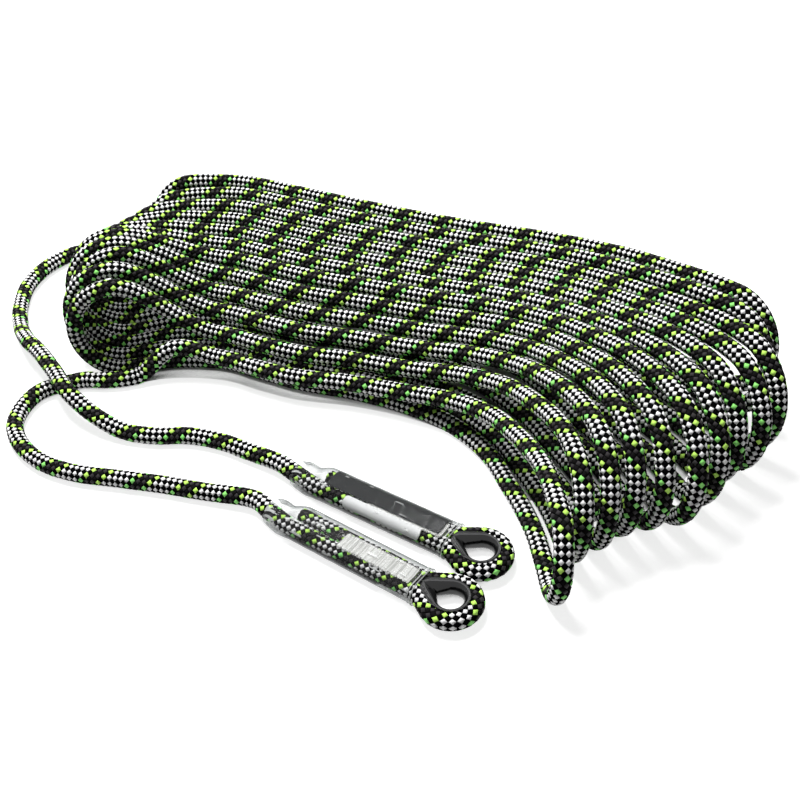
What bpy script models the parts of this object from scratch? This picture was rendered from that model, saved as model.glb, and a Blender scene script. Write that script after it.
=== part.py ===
"""A hanked static rope, 11 mm across, with a sewn eye on a thimble at each end.

The rope lies as a collapsed hank. Twelve upper runs lie side by side over the lower
runs, both ends of every loop stand up in a fold, and the right end bends towards the
viewer. The two ends of the rope leave the left of the hank and run forward to their
sewn eyes. Metres, +Z up, +X along the hank, +Y away from the viewer. The origin is at
the middle of the bounding box, on the floor.
"""
import math
import bmesh
import bpy
from mathutils import Matrix, Vector

# Middle of the layout below, so that the origin is at the middle of the whole part
CENTRE = (-0.0175, 0.0005)

# Rope
ROPE_D = 0.011
FIT_GAP = 0.0003          # clear space kept between neighbouring solids
FLOOR_CUT = 0.1 * ROPE_D  # depth of the flat that the hank lies on
REST_GAP = 0.0002         # the free ends are this far off the floor

# Hank: lanes are counted from the front edge to the back edge
LANES = 12
LANE_LEAN = 0.17          # sideways shift per height, backwards
FOLD_POINTS = 6
# The two edges of the hank on the floor. A lane runs between them at its own share,
# and stations are counted in steps of these lists.
FRONT_EDGE = [(-0.235, 0.030), (-0.205, 0.030), (-0.180, 0.028), (-0.150, 0.032),
              (-0.113, 0.025), (-0.087, 0.010), (-0.062, -0.003), (-0.027, -0.014),
              (0.006, -0.029), (0.0335, -0.048), (0.0545, -0.0755), (0.0655, -0.107),
              (0.0735, -0.140), (0.0765, -0.176), (0.077, -0.212), (0.077, -0.250)]
BACK_EDGE = [(-0.225, 0.175), (-0.197, 0.176), (-0.172, 0.182), (-0.140, 0.190),
             (-0.101, 0.188), (-0.062, 0.167), (-0.022, 0.143), (0.018, 0.120),
             (0.062, 0.096), (0.108, 0.069), (0.149, 0.038), (0.178, 0.008),
             (0.202, -0.018), (0.223, -0.042), (0.240, -0.068), (0.256, -0.098)]
# Where each lane folds, in stations, and the radius of its fold in rope diameters
LEFT_TIPS = [0.93, 0.85, 0.70, 0.74, 0.58, 0.55, 0.50, 0.70, 1.05, 1.50, 2.00, 2.25]
RIGHT_TIPS = [13.8, 13.45, 13.65, 13.8, 14.1, 14.45, 14.45, 14.35, 14.45, 14.35, 13.6, 13.25]
LEFT_FOLDS = [2.6, 2.7, 2.9, 3.0, 3.0, 2.9, 2.65, 2.4, 2.25, 2.15, 2.15, 2.3]
RIGHT_FOLDS = [2.2, 2.7, 3.0, 3.1, 3.15, 3.25, 3.2, 3.15, 3.08, 3.0, 2.92, 2.85]
# Lowest height of each lane's upper run and highest of its lower run, in diameters
UPPER_LOWEST = [1.6, 2.3, 2.9, 3.3, 3.7, 4.0, 4.1, 4.2, 4.3, 4.45, 4.6, 4.75]
LOWER_HIGHEST = [0.4, 0.4, 0.4, 1.1, 0.4, 1.7, 0.7, 1.9, 0.4, 1.8, 0.6, 1.5]
HANK_END_A = 1.0          # stations where the hank hands over to the free ends
HANK_END_B = 1.3
UPPER_STATIONS = [3.0, 4.4, 6.2, 8.2, 9.8, 11.3]
LOWER_STATIONS = [11.4, 10.2, 9.0, 7.4, 5.4, 3.5]
WAIST = (4.0, 7.4)        # the stretch where the hank is drawn in and lowest
CROSSOVER = (5.0, 11.0)   # the stretch where a lower run passes to the next lane

# Free ends: the points that their routes pass through, hank to sleeve
ROUTE_A = [(-0.232, 0.193), (-0.253, 0.178), (-0.265, 0.153), (-0.266, 0.123),
           (-0.260, 0.096), (-0.249, 0.070), (-0.235, 0.048), (-0.222, 0.026),
           (-0.210, 0.004), (-0.192, -0.014), (-0.173, -0.026), (-0.152, -0.033),
           (-0.131, -0.0355), (-0.110, -0.0435), (-0.090, -0.0565)]
ROUTE_B = [(-0.232, 0.024), (-0.243, 0.008), (-0.245, -0.012), (-0.237, -0.031),
           (-0.222, -0.048), (-0.200, -0.061), (-0.171, -0.070), (-0.142, -0.079),
           (-0.117, -0.088)]
CROSSING = (-0.2255, 0.031)  # where end A passes over end B
CROSSING_REACH = 0.085
CROSSING_GAP = 0.0015
ROUTE_STEP = 0.022

# Sewn eyes: centre of each eye and its heading, outward along the sleeve
EYES = {"a": ((0.0424, -0.1590), math.radians(-38.0)),
        "b": ((0.0226, -0.1912), math.radians(-40.0))}
EYE_ROPE_D = 0.0104       # the rope is drawn tight round the thimble
SEWN_ROPE_D = 0.0094      # and tighter still in the stitching
SEAT_RADIUS = 0.0080      # bottom of the thimble's groove
EYE_HOLE_RADIUS = 0.0070
THROAT = 0.0145           # eye centre to the thimble's nose
HOLE_THROAT = 0.0092
NOSE_RADIUS = 0.0008
HOLE_NOSE_RADIUS = 0.0016
THIMBLE_HALF_HEIGHT = 0.0056
LIP = 0.0007              # thickness of the thimble's lips
HOLE_FLARE = 0.0022       # what the hole is wider by at both faces
STITCH_START = 0.0240      # all these run back along the sleeve from the eye centre
STITCH_LENGTH = 0.0505
STITCH_THICK = 0.0004
STITCH_WEB = 0.0005       # thread between the two ropes
SLEEVE_START = 0.0183
SLEEVE_WIDE = {"a": 0.094, "b": 0.0915}  # length over both ropes
# Past the tail's end: distance from there, then the sides of the standing rope and film
SLEEVE_DIP = (0.0045, -0.0045, 0.0015)
SLEEVE_MOUTH = (0.0170, -0.0025, 0.0035)
SLEEVE_WALL = 0.0005
TAIL_LENGTH = {"a": 0.1105, "b": 0.109}
TAG_THICK = 0.0003
TAG_A = (0.026, 0.0073)   # start, and how far it stops short of the sleeve's wide part
TAG_B = (0.043, 0.0018)
LABEL_A = (0.035, 0.0233)

PAIR_HALF = 0.5 * SEWN_ROPE_D + FIT_GAP + 0.5 * STITCH_WEB
STITCH_INNER = 0.5 * SEWN_ROPE_D + FIT_GAP
TAG_INNER = STITCH_INNER + STITCH_THICK + FIT_GAP
SLEEVE_INNER = TAG_INNER + TAG_THICK + FIT_GAP
NECK_INNER = 0.5 * ROPE_D + FIT_GAP
EYE_HEIGHT = SLEEVE_INNER + SLEEVE_WALL + REST_GAP
GROOVE_RADIUS = 0.5 * EYE_ROPE_D + FIT_GAP

# Colours: base colour, roughness, transmission
FINISH = {"rope": ((0.16, 0.19, 0.15, 1.0), 0.8, 0.0),
          "thimble": ((0.012, 0.012, 0.013, 1.0), 0.25, 0.0),
          "thread": ((0.82, 0.82, 0.80, 1.0), 0.6, 0.0),
          "sleeve": ((0.90, 0.92, 0.92, 1.0), 0.1, 0.9),
          "tag": ((0.03, 0.03, 0.032, 1.0), 0.35, 0.0),
          "label": ((0.85, 0.86, 0.86, 1.0), 0.4, 0.0)}


def clear_scene():
    for old in list(bpy.data.objects):
        bpy.data.objects.remove(old, do_unlink=True)


def material(name):
    found = bpy.data.materials.get(name)
    if found:
        return found
    colour, roughness, transmission = FINISH[name]
    made = bpy.data.materials.new(name)
    made.use_nodes = True
    shader = made.node_tree.nodes["Principled BSDF"]
    shader.inputs["Base Color"].default_value = colour
    shader.inputs["Roughness"].default_value = roughness
    shader.inputs["Metallic"].default_value = 0.0
    shader.inputs["Transmission Weight"].default_value = transmission
    return made


def add_object(name, data, finish, parent=None):
    made = bpy.data.objects.new(name, data)
    bpy.context.collection.objects.link(made)
    data.materials.append(material(finish))
    made.parent = parent
    return made


def smoothstep(low, high, value):
    share = min(1.0, max(0.0, (value - low) / (high - low)))
    return share * share * (3.0 - 2.0 * share)


def placed(point, z=0.0):
    """A point of the layout in the part's own frame."""
    return Vector((point[0] - CENTRE[0], point[1] - CENTRE[1], z))


def spline_through(points, per_span):
    """Catmull-Rom points through the given points, which it keeps."""
    points = [Vector(p) for p in points]
    ends = [2 * points[0] - points[1]] + points + [2 * points[-1] - points[-2]]
    made = []
    for index in range(1, len(ends) - 2):
        before, start, stop, after = ends[index - 1:index + 3]
        for step in range(per_span):
            t = step / per_span
            made.append(0.5 * (2 * start + (stop - before) * t
                               + (2 * before - 5 * start + 4 * stop - after) * t * t
                               + (3 * start - before - 3 * stop + after) * t ** 3))
    return made + [points[-1]]


def lengths_along(points):
    total = [0.0]
    for start, stop in zip(points, points[1:]):
        total.append(total[-1] + (stop - start).length)
    return total


def at_length(points, total, wanted):
    """The point at a length along a fine polyline, past its ends in a straight line."""
    index = 1
    while index < len(total) - 1 and total[index] < wanted:
        index += 1
    share = (wanted - total[index - 1]) / (total[index] - total[index - 1])
    return points[index - 1].lerp(points[index], share)


STATION_STEPS = 16
FRONT_LINE = spline_through([placed(p) for p in FRONT_EDGE], STATION_STEPS)
BACK_LINE = spline_through([placed(p) for p in BACK_EDGE], STATION_STEPS)
LOWER_Z = 0.5 * ROPE_D - FLOOR_CUT
LAST_LANE = LANES - 1


def at_station(line, t):
    index = min(max(int(t * STATION_STEPS), 0), len(line) - 2)
    return line[index].lerp(line[index + 1], t * STATION_STEPS - index)


def on_sheet(t, lane, z):
    """A point of the leaning sheet that a lane's loop lies in."""
    front, back = at_station(FRONT_LINE, t), at_station(BACK_LINE, t)
    lean = (back - front).normalized() * LANE_LEAN * (z - LOWER_Z)
    return front.lerp(back, lane / LAST_LANE) + lean + Vector((0.0, 0.0, z))


def move_along(lane, t, distance):
    """The station reached from t after a distance along the lane."""
    step = math.copysign(1.0 / STATION_STEPS, distance)
    left = abs(distance)
    here = on_sheet(t, lane, LOWER_Z)
    while True:
        ahead = on_sheet(t + step, lane, LOWER_Z)
        run = (ahead - here).length
        if run >= left:
            return t + step * left / run
        left -= run
        t += step
        here = ahead


def upper_z(lane, t, left, right):
    """Height of an upper run: high over both folds and lowest at the waist."""
    waist = ROPE_D * UPPER_LOWEST[lane]
    if t < WAIST[0]:
        top = LOWER_Z + 2.0 * ROPE_D * LEFT_FOLDS[lane]
        return waist + (top - waist) * (1.0 - smoothstep(left, WAIST[0], t))
    top = LOWER_Z + 2.0 * ROPE_D * RIGHT_FOLDS[lane]
    return waist + (top - waist) * smoothstep(WAIST[1], right, t)


def lower_z(lane, t):
    """Height of a lower run: on the floor at both ends of its crossover."""
    middle = 0.5 * (LOWER_STATIONS[0] + LOWER_STATIONS[-1])
    away = abs(t - middle) / (middle - LOWER_STATIONS[-1])
    top = ROPE_D * LOWER_HIGHEST[lane]
    return LOWER_Z + max(0.0, top - LOWER_Z) * (1.0 - smoothstep(0.0, 1.0, away))


def fold_points(lane, tip, radius, inward):
    """The half circle at one end of a loop, from the upper run to the lower one."""
    centre = move_along(lane, tip, inward * radius)
    made = []
    for k in range(FOLD_POINTS):
        turn = math.pi * (0.5 - k / (FOLD_POINTS - 1))
        t = move_along(lane, centre, -inward * radius * math.cos(turn))
        made.append(on_sheet(t, lane, LOWER_Z + radius * (1.0 + math.sin(turn))))
    return centre, made


def hank_points():
    """The whole hank from free end B to free end A, as one line."""
    made = []
    free_z = 0.5 * ROPE_D + REST_GAP
    for distance in (0.0, ROPE_D, 2.5 * ROPE_D):
        made.append(on_sheet(move_along(0, HANK_END_B, distance), 0, free_z))
    for lane in range(LANES):
        left = move_along(0, HANK_END_B, 2.5 * ROPE_D)
        if lane:
            left, fold = fold_points(lane, LEFT_TIPS[lane], ROPE_D * LEFT_FOLDS[lane], 1.0)
            made += reversed(fold)
        right, fold = fold_points(lane, RIGHT_TIPS[lane], ROPE_D * RIGHT_FOLDS[lane], -1.0)
        for t in UPPER_STATIONS:
            z = upper_z(lane, t, left, right)
            if lane == 0 and t < WAIST[0]:
                z = free_z + (z - free_z) * smoothstep(left, WAIST[0], t)
            made.append(on_sheet(t, lane, z))
        made += fold
        for t in LOWER_STATIONS:
            across = 1.0 - smoothstep(CROSSOVER[0], CROSSOVER[1], t)
            made.append(on_sheet(t, lane + across, lower_z(lane, t)))
    for distance in (4.0 * ROPE_D, 2.5 * ROPE_D, ROPE_D, 0.0):
        made.append(on_sheet(move_along(LANES, HANK_END_A, distance), LANES, free_z))
    return made


def segment_distance(a, b, c, d):
    """Least distance between the segments a-b and c-d."""
    u, v, w = b - a, d - c, a - c
    uu, uv, vv, uw, vw = u.dot(u), u.dot(v), v.dot(v), u.dot(w), v.dot(w)
    spread = uu * vv - uv * uv
    s = min(1.0, max(0.0, (uv * vw - vv * uw) / spread)) if spread > 1e-14 else 0.0
    t = min(1.0, max(0.0, (uv * s + vw) / vv))
    s = min(1.0, max(0.0, (uv * t - uw) / uu))
    return (w + u * s - v * t).length


def least_gap(points, width):
    """Least clear space between parts of a tube that aren't neighbours along it."""
    least = 1.0
    run = lengths_along(points)
    for i in range(len(points) - 1):
        for j in range(i + 2, len(points) - 1):
            if run[j] - run[i + 1] < 4.0 * width:
                continue
            if (points[i] - points[j]).length > 0.12:
                continue
            least = min(least, segment_distance(points[i], points[i + 1],
                                                points[j], points[j + 1]))
    return least - width


def tube(name, points, width, finish, resolution, shares=None):
    """A cord as a bevelled curve with filled ends."""
    curve = bpy.data.curves.new(name, "CURVE")
    curve.dimensions = "3D"
    curve.bevel_depth = 0.5 * width
    curve.bevel_resolution = resolution
    curve.use_fill_caps = True
    spline = curve.splines.new("POLY")
    spline.points.add(len(points) - 1)
    for index, point in enumerate(points):
        spline.points[index].co = (*point, 1.0)
        spline.points[index].radius = shares[index] if shares else 1.0
    return add_object(name, curve, finish)


def make_hank():
    points = hank_points()
    hank = tube("hank", points, ROPE_D, "rope", 1)
    print("hank: points", len(points), "length", round(lengths_along(points)[-1], 3),
          "least gap to itself, mm", round(1000 * least_gap(points, ROPE_D), 2))
    reach = [(min(p[k] for p in points) + max(p[k] for p in points)) / 2 for k in (0, 1)]
    size = [max(p[k] for p in points) - min(p[k] for p in points) + 0.1 for k in (0, 1)]
    depth = 0.02
    bpy.ops.mesh.primitive_cube_add(size=1.0, location=(*reach, -0.5 * depth))
    cutter = bpy.context.object
    cutter.name = "floor_cutter"
    cutter.scale = (*size, depth)
    cutter.hide_render = True
    cutter.display_type = "WIRE"
    cut = hank_mesh(hank).modifiers.new("floor", "BOOLEAN")
    cut.operation = "DIFFERENCE"
    cut.solver = "EXACT"
    cut.object = cutter


def hank_mesh(curve_object):
    """The hank's tube as a mesh object, so that its underside can be cut flat."""
    depsgraph = bpy.context.evaluated_depsgraph_get()
    mesh = bpy.data.meshes.new_from_object(curve_object.evaluated_get(depsgraph))
    bpy.data.objects.remove(curve_object, do_unlink=True)
    mesh.name = "hank"
    mesh.materials.clear()
    made = add_object("hank", mesh, "rope")
    mesh.shade_smooth()
    return made


def teardrop(radius, throat, nose, arc_count=22, nose_count=6):
    """A teardrop outline: a round end at the origin and a nose at -throat."""
    lean = math.asin((radius - nose) / throat)
    made = []
    for k in range(arc_count + 1):
        turn = (0.5 * math.pi + lean) * (1.0 - 2.0 * k / arc_count)
        made.append((radius * math.cos(turn), radius * math.sin(turn)))
    for k in range(nose_count + 1):
        turn = -(0.5 * math.pi + lean) - (math.pi - 2.0 * lean) * k / nose_count
        made.append((nose * math.cos(turn) - throat, nose * math.sin(turn)))
    return made


def loft(name, rings, closed, finish, parent):
    """Joins rings of equal count; closed goes round from the last ring to the first."""
    vertices = [point for ring in rings for point in ring]
    count = len(rings[0])
    faces = []
    for k in range(len(rings) - (0 if closed else 1)):
        here, there = k * count, ((k + 1) % len(rings)) * count
        for i in range(count):
            j = (i + 1) % count
            faces.append((here + i, here + j, there + j, there + i))
    if not closed:
        faces.append(tuple(reversed(range(count))))
        faces.append(tuple(range((len(rings) - 1) * count, len(rings) * count)))
    mesh = bpy.data.meshes.new(name)
    mesh.from_pydata(vertices, [], faces)
    mesh.update()
    solid = bmesh.new()
    solid.from_mesh(mesh)
    inside_out = solid.calc_volume(signed=True) < 0.0
    solid.free()
    if inside_out:
        mesh.flip_normals()
    mesh.shade_smooth()
    mesh.set_sharp_from_angle(angle=math.radians(40))
    return add_object(name, mesh, finish, parent)


def make_thimble(name, parent):
    """A grooved teardrop ring that the rope is bent round."""
    rings = []
    top = THIMBLE_HALF_HEIGHT
    lip_z = top - LIP
    groove_z = [lip_z * k / 4 for k in range(-4, 5)]
    for z in groove_z:
        out = GROOVE_RADIUS - math.sqrt(GROOVE_RADIUS ** 2 - z * z)
        outline = teardrop(SEAT_RADIUS + out, THROAT, NOSE_RADIUS + out)
        rings.append([(x, y, z) for x, y in outline])
    lip_out = GROOVE_RADIUS - math.sqrt(GROOVE_RADIUS ** 2 - lip_z ** 2)
    lip = teardrop(SEAT_RADIUS + lip_out, THROAT, NOSE_RADIUS + lip_out)
    rings.append([(x, y, top) for x, y in lip])
    for share in (1.0, 0.7, 0.35, 0.0, -0.35, -0.7, -1.0):
        wider = HOLE_FLARE * share * share
        hole = teardrop(EYE_HOLE_RADIUS + wider, HOLE_THROAT, HOLE_NOSE_RADIUS + wider)
        rings.append([(x, y, top * share) for x, y in hole])
    rings.append([(x, y, -top) for x, y in lip])
    loft(name, rings, True, "thimble", parent)


def pair_section(radius, low, high, count=8):
    """Outline of the two ropes' hull in the sleeve: round sides, flat top and bottom."""
    made = []
    for k in range(count + 1):
        turn = -0.5 * math.pi + math.pi * k / count
        made.append((high + radius * math.cos(turn), radius * math.sin(turn)))
    for k in range(count + 1):
        turn = 0.5 * math.pi + math.pi * k / count
        made.append((low + radius * math.cos(turn), radius * math.sin(turn)))
    return made


def section_ring(section, back):
    return [(-back, y, z) for y, z in section]


def make_stitching(name, parent):
    """The lock stitches between the two ropes, from crest to crest on both sides."""
    quarter = []
    for k in range(9):
        turn = math.pi * (1.0 - 0.5 * k / 8)
        quarter.append((PAIR_HALF + STITCH_INNER * math.cos(turn), STITCH_INNER * math.sin(turn)))
    quarter.append((PAIR_HALF, STITCH_INNER + STITCH_THICK))
    upper = quarter + [(-y, z) for y, z in reversed(quarter)]
    section = upper[:-1] + [(y, -z) for y, z in reversed(upper[1:])]
    rings = [section_ring(section, STITCH_START),
             section_ring(section, STITCH_START + STITCH_LENGTH)]
    loft(name, rings, False, "thread", parent)


def make_sleeve(name, side, parent):
    """The clear shrunk sleeve over both ropes, with an open mouth over one."""
    wide = SLEEVE_START + SLEEVE_WIDE[side]
    stations = [(SLEEVE_START, -PAIR_HALF, PAIR_HALF, SLEEVE_INNER),
                (wide, -PAIR_HALF, PAIR_HALF, SLEEVE_INNER),
                (wide + SLEEVE_DIP[0], SLEEVE_DIP[1], SLEEVE_DIP[2], NECK_INNER),
                (wide + SLEEVE_MOUTH[0], SLEEVE_MOUTH[1], SLEEVE_MOUTH[2], NECK_INNER)]
    rings = []
    for back, low, high, radius in stations:
        section = pair_section(radius + SLEEVE_WALL, low, high)
        rings.append(section_ring(section, back))
    for back, low, high, radius in reversed(stations):
        rings.append(section_ring(pair_section(radius, low, high), back))
    loft(name, rings, True, "sleeve", parent)


def strip_outline(radius, first, last, turn_first, turn_last, count=6):
    """Part of the hull's outline: round one rope's side and flat to the other rope."""
    made = []
    for k in range(count + 1):
        turn = turn_first + (turn_last - turn_first) * k / count
        made.append((first + radius * math.cos(turn), radius * math.sin(turn)))
    if last is not None:
        made.append((last, radius * math.sin(turn_last)))
    return made


def make_strip(name, finish, parent, side, start, short, shape):
    """A thin strip of woven or printed tape that lies on the stitching."""
    inner = strip_outline(TAG_INNER, *shape)
    outer = strip_outline(TAG_INNER + TAG_THICK, *shape)
    section = inner + outer[::-1]
    stop = SLEEVE_START + SLEEVE_WIDE[side] - short
    rings = [section_ring(section, start), section_ring(section, stop)]
    loft(name, rings, False, finish, parent)


def eye_path(side):
    """The rope's line in an eye's own frame, from the sleeve's neck to the tail's end.

    Each entry is x, y and the rope's width there."""
    offset = GROOVE_RADIUS
    outline = teardrop(SEAT_RADIUS + offset, THROAT, NOSE_RADIUS + offset, 14, 6)
    round_end = [(x, y, EYE_ROPE_D) for x, y in outline[:15]]
    wide = SLEEVE_START + SLEEVE_WIDE[side]
    sewn = [STITCH_START + STITCH_LENGTH * k / 3 for k in range(4)]
    lean = math.asin((SEAT_RADIUS - NOSE_RADIUS) / THROAT)
    nose = NOSE_RADIUS + offset
    flank = (-THROAT - nose * math.sin(lean), nose * math.cos(lean), EYE_ROPE_D)
    throat = [(flank[0] - 0.5 * ROPE_D, PAIR_HALF, SEWN_ROPE_D), flank]
    front = [(-wide - SLEEVE_MOUTH[0], SLEEVE_MOUTH[1], ROPE_D),
             (-wide - SLEEVE_DIP[0], SLEEVE_DIP[1], EYE_ROPE_D),
             (-wide, -PAIR_HALF, EYE_ROPE_D)]
    front += [(-back, -PAIR_HALF, SEWN_ROPE_D) for back in reversed(sewn)]
    front += [(x, -y, width) for x, y, width in throat]
    tail = [(x, y, width) for x, y, width in reversed(throat)]
    tail += [(-back, PAIR_HALF, SEWN_ROPE_D) for back in sewn]
    tail += [(-TAIL_LENGTH[side], PAIR_HALF, SEWN_ROPE_D)]
    return front + list(reversed(round_end)) + tail


def resample(points, step):
    total = lengths_along(points)
    count = max(2, round(total[-1] / step))
    return [at_length(points, total, total[-1] * k / count) for k in range(count + 1)]


def route_height(point, over):
    """The free ends lie on the floor, and A goes over B in a long low hump."""
    floor_z = 0.5 * ROPE_D + REST_GAP
    if not over:
        return floor_z
    away = math.dist(point, CROSSING)
    rise = ROPE_D + CROSSING_GAP
    return floor_z + rise * (1.0 - smoothstep(0.3 * CROSSING_REACH, CROSSING_REACH, away))


def make_rope_end(side, hank_end, before_end):
    """One free end: from the hank along the floor, through the sleeve, round the eye."""
    centre, heading = EYES[side]
    place = Matrix.Translation(placed(centre, EYE_HEIGHT)) @ Matrix.Rotation(heading, 4, "Z")
    local = eye_path(side)
    in_eye = [place @ Vector((x, y, 0.0)) for x, y, _ in local]
    out = (hank_end - before_end).normalized()
    start = hank_end + out * FIT_GAP
    route = ROUTE_A if side == "a" else ROUTE_B
    over = side == "a"
    floor = [placed(p, route_height(p, over)) for p in route]
    into = (in_eye[1] - in_eye[0]).normalized()
    approach = in_eye[0] - into * 1.5 * ROPE_D
    line = spline_through([start, start + out * ROPE_D] + floor + [approach, in_eye[0]], 12)
    free = resample(line, ROUTE_STEP)[:-1]
    free.insert(1, start + out * ROPE_D)
    free = [p for k, p in enumerate(free) if k < 2 or (p - free[1]).length > 0.5 * ROPE_D]
    points = free + in_eye
    shares = [1.0] * len(free) + [width / ROPE_D for _, _, width in local]
    tube("rope_end_" + side, points, ROPE_D, "rope", 2, shares)
    print("rope end", side, "points", len(points), "length",
          round(lengths_along(points)[-1], 3))


def make_eye(side):
    centre, heading = EYES[side]
    parent = bpy.data.objects.new("eye_" + side, None)
    bpy.context.collection.objects.link(parent)
    parent.location = placed(centre, EYE_HEIGHT)
    parent.rotation_euler = (0.0, 0.0, heading)
    make_thimble("thimble_" + side, parent)
    make_stitching("stitching_" + side, parent)
    make_sleeve("sleeve_" + side, side, parent)
    up = 0.5 * math.pi
    if side == "a":
        over_top = (PAIR_HALF, -PAIR_HALF, math.radians(10), up)
        make_strip("tag_a", "tag", parent, side, *TAG_A, over_top)
        front_side = (-PAIR_HALF, None, math.radians(108), math.radians(172))
        make_strip("label_a", "label", parent, side, *LABEL_A, front_side)
    else:
        under = (-PAIR_HALF, PAIR_HALF, math.radians(190), 3.0 * up)
        make_strip("tag_b", "tag", parent, side, *TAG_B, under)


clear_scene()
make_hank()
ends = hank_points()
make_rope_end("a", ends[-1], ends[-2])
make_rope_end("b", ends[0], ends[1])
for eye_side in EYES:
    make_eye(eye_side)
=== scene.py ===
"""The looks of a hanked static rope with two sewn eyes."""
import math
import bpy
import numpy as np
from mathutils import Matrix, Vector
from mathutils.geometry import tessellate_polygon


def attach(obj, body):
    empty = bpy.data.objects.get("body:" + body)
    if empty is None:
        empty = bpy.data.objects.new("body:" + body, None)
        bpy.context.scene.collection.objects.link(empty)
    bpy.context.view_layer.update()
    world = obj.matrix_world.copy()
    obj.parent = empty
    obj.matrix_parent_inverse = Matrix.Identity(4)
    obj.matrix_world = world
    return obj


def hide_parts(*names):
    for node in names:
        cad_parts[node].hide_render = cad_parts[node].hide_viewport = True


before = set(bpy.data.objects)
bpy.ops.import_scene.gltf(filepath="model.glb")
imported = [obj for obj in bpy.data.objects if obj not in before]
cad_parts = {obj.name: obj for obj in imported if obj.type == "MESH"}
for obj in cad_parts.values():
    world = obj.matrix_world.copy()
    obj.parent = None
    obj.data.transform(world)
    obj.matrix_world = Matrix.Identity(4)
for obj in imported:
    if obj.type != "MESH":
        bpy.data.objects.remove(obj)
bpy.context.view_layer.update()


# The rope's line, with the CAD's numbers. Lengths are in metres, and stations count the
# points of FRONT_EDGE and BACK_EDGE along the hank.
CENTRE = (-0.0175, 0.0005)
ROPE_D = 0.011
FLOOR_CUT = 0.1 * ROPE_D  # depth of the flat that the hank lies on
REST_GAP = 0.0002  # the free ends are this far off the floor
FIT_GAP = 0.0003  # clear space kept between neighbouring pieces
LANES = 12
LAST_LANE = LANES - 1
LANE_LEAN = 0.17  # sideways shift per height, backwards
FRONT_EDGE = [(-0.235, 0.030), (-0.205, 0.030), (-0.180, 0.028), (-0.150, 0.032),
              (-0.113, 0.025), (-0.087, 0.010), (-0.062, -0.003), (-0.027, -0.014),
              (0.006, -0.029), (0.0335, -0.048), (0.0545, -0.0755), (0.0655, -0.107),
              (0.0735, -0.140), (0.0765, -0.176), (0.077, -0.212), (0.077, -0.250)]
BACK_EDGE = [(-0.225, 0.175), (-0.197, 0.176), (-0.172, 0.182), (-0.140, 0.190),
             (-0.101, 0.188), (-0.062, 0.167), (-0.022, 0.143), (0.018, 0.120),
             (0.062, 0.096), (0.108, 0.069), (0.149, 0.038), (0.178, 0.008),
             (0.202, -0.018), (0.223, -0.042), (0.240, -0.068), (0.256, -0.098)]
# for each lane: its tips' stations, then in rope widths its folds' radii, the lowest of its
# upper run and the highest of its lower run
LEFT_TIPS = [0.93, 0.85, 0.70, 0.74, 0.58, 0.55, 0.50, 0.70, 1.05, 1.50, 2.00, 2.25]
RIGHT_TIPS = [13.8, 13.45, 13.65, 13.8, 14.1, 14.45, 14.45, 14.35, 14.45, 14.35, 13.6, 13.25]
LEFT_FOLDS = [2.6, 2.7, 2.9, 3.0, 3.0, 2.9, 2.65, 2.4, 2.25, 2.15, 2.15, 2.3]
RIGHT_FOLDS = [2.2, 2.7, 3.0, 3.1, 3.15, 3.25, 3.2, 3.15, 3.08, 3.0, 2.92, 2.85]
UPPER_LOWEST = [1.6, 2.3, 2.9, 3.3, 3.7, 4.0, 4.1, 4.2, 4.3, 4.45, 4.6, 4.75]
LOWER_HIGHEST = [0.4, 0.4, 0.4, 1.1, 0.4, 1.7, 0.7, 1.9, 0.4, 1.8, 0.6, 1.5]
HANK_END_A = 1.0  # stations where the hank hands over to the free ends
HANK_END_B = 1.3
ENTRY_RUN = 2.5 * ROPE_D  # where the first lane leaves the floor
EXIT_RUN = 4.0 * ROPE_D  # where the last lower run comes down to it
LOWER_FIRST, LOWER_LAST = 11.4, 3.5  # the stretch where a lower run may rise
WAIST = (4.0, 7.4)  # the stretch where the hank is drawn in and lowest
CROSSOVER = (5.0, 11.0)  # the stretch where a lower run passes to the next lane
ROUTE_A = [(-0.232, 0.193), (-0.253, 0.178), (-0.265, 0.153), (-0.266, 0.123),
           (-0.260, 0.096), (-0.249, 0.070), (-0.235, 0.048), (-0.222, 0.026),
           (-0.210, 0.004), (-0.192, -0.014), (-0.173, -0.026), (-0.152, -0.033),
           (-0.131, -0.0355), (-0.110, -0.0435), (-0.090, -0.0565)]
ROUTE_B = [(-0.232, 0.024), (-0.243, 0.008), (-0.245, -0.012), (-0.237, -0.031),
           (-0.222, -0.048), (-0.200, -0.061), (-0.171, -0.070), (-0.142, -0.079),
           (-0.117, -0.088)]
CROSSING = (-0.2255, 0.031)  # where end A passes over end B
CROSSING_REACH = 0.085
CROSSING_TOP = 0.3  # share of the reach that is at full height
CROSSING_GAP = 0.0015
EYE_APPROACH = 1.5  # straight run into an eye, in rope widths
EYES = {"a": ((0.0424, -0.1590), math.radians(-38.0)),
        "b": ((0.0226, -0.1912), math.radians(-40.0))}
EYE_ROPE_D = 0.0104  # the rope is drawn tight round the thimble
SEWN_ROPE_D = 0.0094  # and tighter still in the stitching
SEAT_RADIUS = 0.0080  # bottom of the thimble's groove
NOSE_RADIUS = 0.0008
THROAT = 0.0145  # eye centre to the thimble's nose
EYE_HOLE_RADIUS = 0.0070
HOLE_THROAT = 0.0092
HOLE_NOSE_RADIUS = 0.0016
THIMBLE_HALF_HEIGHT = 0.0056
LIP = 0.0007  # thickness of the thimble's lips
STITCH_START = 0.0240  # all these run back along the sleeve from the eye centre
STITCH_LENGTH = 0.0505
STITCH_THICK = 0.0004
STITCH_WEB = 0.0005  # thread between the two ropes
SLEEVE_START = 0.0183
SLEEVE_WIDE = {"a": 0.094, "b": 0.0915}  # length over both ropes
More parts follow.
